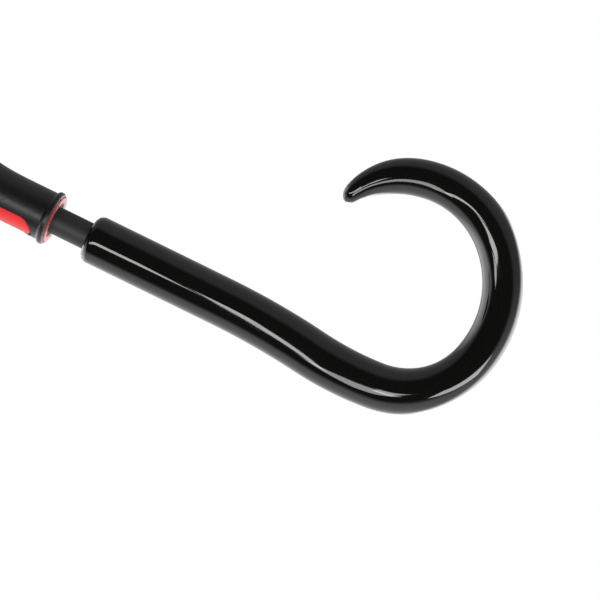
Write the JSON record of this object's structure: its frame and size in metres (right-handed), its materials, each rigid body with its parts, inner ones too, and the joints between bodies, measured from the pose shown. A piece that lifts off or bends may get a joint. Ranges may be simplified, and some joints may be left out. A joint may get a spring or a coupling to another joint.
{
  "type": "stick umbrella",
  "caption": "Closed stick umbrella with a glossy crook handle, a black shaft, a sliding runner with a red liner and release button, and a furled black canopy.",
  "frame": {"origin": "centre of the handle's upper end face, on the shaft's axis", "axes": "+Z along the shaft to the ferrule, +X to the side that the crook curls to, +Y to the back"},
  "size_m": [0.1429, 0.0662, 0.9565],
  "materials": {
    "handle_gloss": "glossy black",
    "shaft_black": "matt black paint",
    "plug_wood": "bare wood",
    "bright_steel": "bright wire",
    "fitting_black": "satin black",
    "ferrule_metal": "polished metal",
    "runner_black": "satin black",
    "runner_red": "red moulded plastic",
    "rib_fibre": "black glass fibre",
    "tip_nylon": "black nylon",
    "stretcher_steel": "black painted steel",
    "canopy_fabric": "plain-weave black pongee",
    "snap_steel": "nickel-plated"
  },
  "bodies": {
    "shaft_assembly": {"handle": "handle_gloss", "shaft": "shaft_black", "shaft_end_plug": "plug_wood", "handle_pin": "bright_steel", "top_notch": "fitting_black", "notch_ring_wire": "bright_steel", "top_cap": "fitting_black", "ferrule": "fitting_black", "ferrule_tip": "ferrule_metal"},
    "runner": {"runner_shell": "runner_black", "runner_liner_lower": "runner_red", "runner_liner_upper": "runner_red"},
    "button": {"release_button": "runner_red", "button_spring": "bright_steel"},
    "rib_arm_1": {"rib_1": "rib_fibre", "rib_tip_1": "tip_nylon"},
    "stretcher_arm_1": {"stretcher_1": "stretcher_steel"},
    "canopy_arm_1": {"canopy_panel_1": "canopy_fabric"},
    "rib_arm_2": {"rib_2": "rib_fibre", "rib_tip_2": "tip_nylon"},
    "stretcher_arm_2": {"stretcher_2": "stretcher_steel"},
    "canopy_arm_2": {"canopy_panel_2": "canopy_fabric"},
    "rib_arm_3": {"rib_3": "rib_fibre", "rib_tip_3": "tip_nylon"},
    "stretcher_arm_3": {"stretcher_3": "stretcher_steel"},
    "canopy_arm_3": {"canopy_panel_3": "canopy_fabric"},
    "rib_arm_4": {"rib_4": "rib_fibre", "rib_tip_4": "tip_nylon"},
    "stretcher_arm_4": {"stretcher_4": "stretcher_steel"},
    "canopy_arm_4": {"canopy_panel_4": "canopy_fabric"},
    "rib_arm_5": {"rib_5": "rib_fibre", "rib_tip_5": "tip_nylon"},
    "stretcher_arm_5": {"stretcher_5": "stretcher_steel"},
    "canopy_arm_5": {"canopy_panel_5": "canopy_fabric", "tie_strap": "canopy_fabric", "snap_socket": "snap_steel", "snap_stud": "snap_steel"},
    "rib_arm_6": {"rib_6": "rib_fibre", "rib_tip_6": "tip_nylon"},
    "stretcher_arm_6": {"stretcher_6": "stretcher_steel"},
    "canopy_arm_6": {"canopy_panel_6": "canopy_fabric"},
    "rib_arm_7": {"rib_7": "rib_fibre", "rib_tip_7": "tip_nylon"},
    "stretcher_arm_7": {"stretcher_7": "stretcher_steel"},
    "canopy_arm_7": {"canopy_panel_7": "canopy_fabric"},
    "rib_arm_8": {"rib_8": "rib_fibre", "rib_tip_8": "tip_nylon"},
    "stretcher_arm_8": {"stretcher_8": "stretcher_steel"},
    "canopy_arm_8": {"canopy_panel_8": "canopy_fabric"}
  },
  "joints": [
    {"name": "runner_slide", "type": "slide", "parent": "shaft_assembly", "child": "runner", "axis": [0, 0, 1], "range_m": [0, 0.3757]},
    {"name": "release_button_press", "type": "slide", "parent": "runner", "child": "button", "axis": [0.9135, 0.4067, 0], "range_m": [0, 0.0015], "stiffness_N_per_m": 400},
    {"name": "rib_1_hinge", "type": "hinge", "parent": "shaft_assembly", "child": "rib_arm_1", "pos_m": [0.01039, 0.006, 0.665], "axis": [0.5, -0.866, 0], "range_deg": [0, 69]},
    {"name": "stretcher_1_hinge", "type": "hinge", "parent": "rib_arm_1", "child": "stretcher_arm_1", "pos_m": [0.01894, 0.01093, 0.37513], "axis": [0.5, -0.866, 0], "range_deg": [-136, 0]},
    {"name": "canopy_1_spread", "type": "hinge", "parent": "rib_arm_1", "child": "canopy_arm_1", "pos_m": [0.00791, 0.0103, 0.665], "axis": [0.5141, 0.67, -0.5355], "range_deg": [0, 50.1]},
    {"name": "rib_2_hinge", "type": "hinge", "parent": "shaft_assembly", "child": "rib_arm_2", "pos_m": [0.00311, 0.01159, 0.665], "axis": [0.9659, -0.2588, 0], "range_deg": [0, 69]},
    {"name": "stretcher_2_hinge", "type": "hinge", "parent": "rib_arm_2", "child": "stretcher_arm_2", "pos_m": [0.00566, 0.02112, 0.37513], "axis": [0.9659, -0.2588, 0], "range_deg": [-136, 0]},
    {"name": "canopy_2_spread", "type": "hinge", "parent": "rib_arm_2", "child": "canopy_arm_2", "pos_m": [-0.00169, 0.01288, 0.665], "axis": [-0.1102, 0.8373, -0.5355], "range_deg": [0, 50.1]},
    {"name": "rib_3_hinge", "type": "hinge", "parent": "shaft_assembly", "child": "rib_arm_3", "pos_m": [-0.006, 0.01039, 0.665], "axis": [0.866, 0.5, 0], "range_deg": [0, 69]},
    {"name": "stretcher_3_hinge", "type": "hinge", "parent": "rib_arm_3", "child": "stretcher_arm_3", "pos_m": [-0.01093, 0.01894, 0.37513], "axis": [0.866, 0.5, 0], "range_deg": [-136, 0]},
    {"name": "canopy_3_spread", "type": "hinge", "parent": "rib_arm_3", "child": "canopy_arm_3", "pos_m": [-0.0103, 0.00791, 0.665], "axis": [-0.67, 0.5141, -0.5355], "range_deg": [0, 50.1]},
    {"name": "rib_4_hinge", "type": "hinge", "parent": "shaft_assembly", "child": "rib_arm_4", "pos_m": [-0.01159, 0.00311, 0.665], "axis": [0.2588, 0.9659, 0], "range_deg": [0, 69]},
    {"name": "stretcher_4_hinge", "type": "hinge", "parent": "rib_arm_4", "child": "stretcher_arm_4", "pos_m": [-0.02112, 0.00566, 0.37513], "axis": [0.2588, 0.9659, 0], "range_deg": [-136, 0]},
    {"name": "canopy_4_spread", "type": "hinge", "parent": "rib_arm_4", "child": "canopy_arm_4", "pos_m": [-0.01288, -0.00169, 0.665], "axis": [-0.8373, -0.1102, -0.5355], "range_deg": [0, 50.1]},
    {"name": "rib_5_hinge", "type": "hinge", "parent": "shaft_assembly", "child": "rib_arm_5", "pos_m": [-0.01039, -0.006, 0.665], "axis": [-0.5, 0.866, 0], "range_deg": [0, 69]},
    {"name": "stretcher_5_hinge", "type": "hinge", "parent": "rib_arm_5", "child": "stretcher_arm_5", "pos_m": [-0.01894, -0.01093, 0.37513], "axis": [-0.5, 0.866, 0], "range_deg": [-136, 0]},
    {"name": "canopy_5_spread", "type": "hinge", "parent": "rib_arm_5", "child": "canopy_arm_5", "pos_m": [-0.00791, -0.0103, 0.665], "axis": [-0.5141, -0.67, -0.5355], "range_deg": [0, 50.1]},
    {"name": "rib_6_hinge", "type": "hinge", "parent": "shaft_assembly", "child": "rib_arm_6", "pos_m": [-0.00311, -0.01159, 0.665], "axis": [-0.9659, 0.2588, 0], "range_deg": [0, 69]},
    {"name": "stretcher_6_hinge", "type": "hinge", "parent": "rib_arm_6", "child": "stretcher_arm_6", "pos_m": [-0.00566, -0.02112, 0.37513], "axis": [-0.9659, 0.2588, 0], "range_deg": [-136, 0]},
    {"name": "canopy_6_spread", "type": "hinge", "parent": "rib_arm_6", "child": "canopy_arm_6", "pos_m": [0.00169, -0.01288, 0.665], "axis": [0.1102, -0.8373, -0.5355], "range_deg": [0, 50.1]},
    {"name": "rib_7_hinge", "type": "hinge", "parent": "shaft_assembly", "child": "rib_arm_7", "pos_m": [0.006, -0.01039, 0.665], "axis": [-0.866, -0.5, 0], "range_deg": [0, 69]},
    {"name": "stretcher_7_hinge", "type": "hinge", "parent": "rib_arm_7", "child": "stretcher_arm_7", "pos_m": [0.01093, -0.01894, 0.37513], "axis": [-0.866, -0.5, 0], "range_deg": [-136, 0]},
    {"name": "canopy_7_spread", "type": "hinge", "parent": "rib_arm_7", "child": "canopy_arm_7", "pos_m": [0.0103, -0.00791, 0.665], "axis": [0.67, -0.5141, -0.5355], "range_deg": [0, 50.1]},
    {"name": "rib_8_hinge", "type": "hinge", "parent": "shaft_assembly", "child": "rib_arm_8", "pos_m": [0.01159, -0.00311, 0.665], "axis": [-0.2588, -0.9659, 0], "range_deg": [0, 69]},
    {"name": "stretcher_8_hinge", "type": "hinge", "parent": "rib_arm_8", "child": "stretcher_arm_8", "pos_m": [0.02112, -0.00566, 0.37513], "axis": [-0.2588, -0.9659, 0], "range_deg": [-136, 0]},
    {"name": "canopy_8_spread", "type": "hinge", "parent": "rib_arm_8", "child": "canopy_arm_8", "pos_m": [0.01288, 0.00169, 0.665], "axis": [0.8373, 0.1102, -0.5355], "range_deg": [0, 50.1]}
  ],
  "couplings": [
    {"joint": "rib_1_hinge", "follows": "runner_slide", "rad_per_m": 3.2017},
    {"joint": "stretcher_1_hinge", "follows": "runner_slide", "rad_per_m": -6.3003},
    {"joint": "canopy_1_spread", "follows": "runner_slide", "rad_per_m": 2.3238},
    {"joint": "rib_2_hinge", "follows": "runner_slide", "rad_per_m": 3.2017},
    {"joint": "stretcher_2_hinge", "follows": "runner_slide", "rad_per_m": -6.3003},
    {"joint": "canopy_2_spread", "follows": "runner_slide", "rad_per_m": 2.3238},
    {"joint": "rib_3_hinge", "follows": "runner_slide", "rad_per_m": 3.2017},
    {"joint": "stretcher_3_hinge", "follows": "runner_slide", "rad_per_m": -6.3003},
    {"joint": "canopy_3_spread", "follows": "runner_slide", "rad_per_m": 2.3238},
    {"joint": "rib_4_hinge", "follows": "runner_slide", "rad_per_m": 3.2017},
    {"joint": "stretcher_4_hinge", "follows": "runner_slide", "rad_per_m": -6.3003},
    {"joint": "canopy_4_spread", "follows": "runner_slide", "rad_per_m": 2.3238},
    {"joint": "rib_5_hinge", "follows": "runner_slide", "rad_per_m": 3.2017},
    {"joint": "stretcher_5_hinge", "follows": "runner_slide", "rad_per_m": -6.3003},
    {"joint": "canopy_5_spread", "follows": "runner_slide", "rad_per_m": 2.3238},
    {"joint": "rib_6_hinge", "follows": "runner_slide", "rad_per_m": 3.2017},
    {"joint": "stretcher_6_hinge", "follows": "runner_slide", "rad_per_m": -6.3003},
    {"joint": "canopy_6_spread", "follows": "runner_slide", "rad_per_m": 2.3238},
    {"joint": "rib_7_hinge", "follows": "runner_slide", "rad_per_m": 3.2017},
    {"joint": "stretcher_7_hinge", "follows": "runner_slide", "rad_per_m": -6.3003},
    {"joint": "canopy_7_spread", "follows": "runner_slide", "rad_per_m": 2.3238},
    {"joint": "rib_8_hinge", "follows": "runner_slide", "rad_per_m": 3.2017},
    {"joint": "stretcher_8_hinge", "follows": "runner_slide", "rad_per_m": -6.3003},
    {"joint": "canopy_8_spread", "follows": "runner_slide", "rad_per_m": 2.3238}
  ]
}
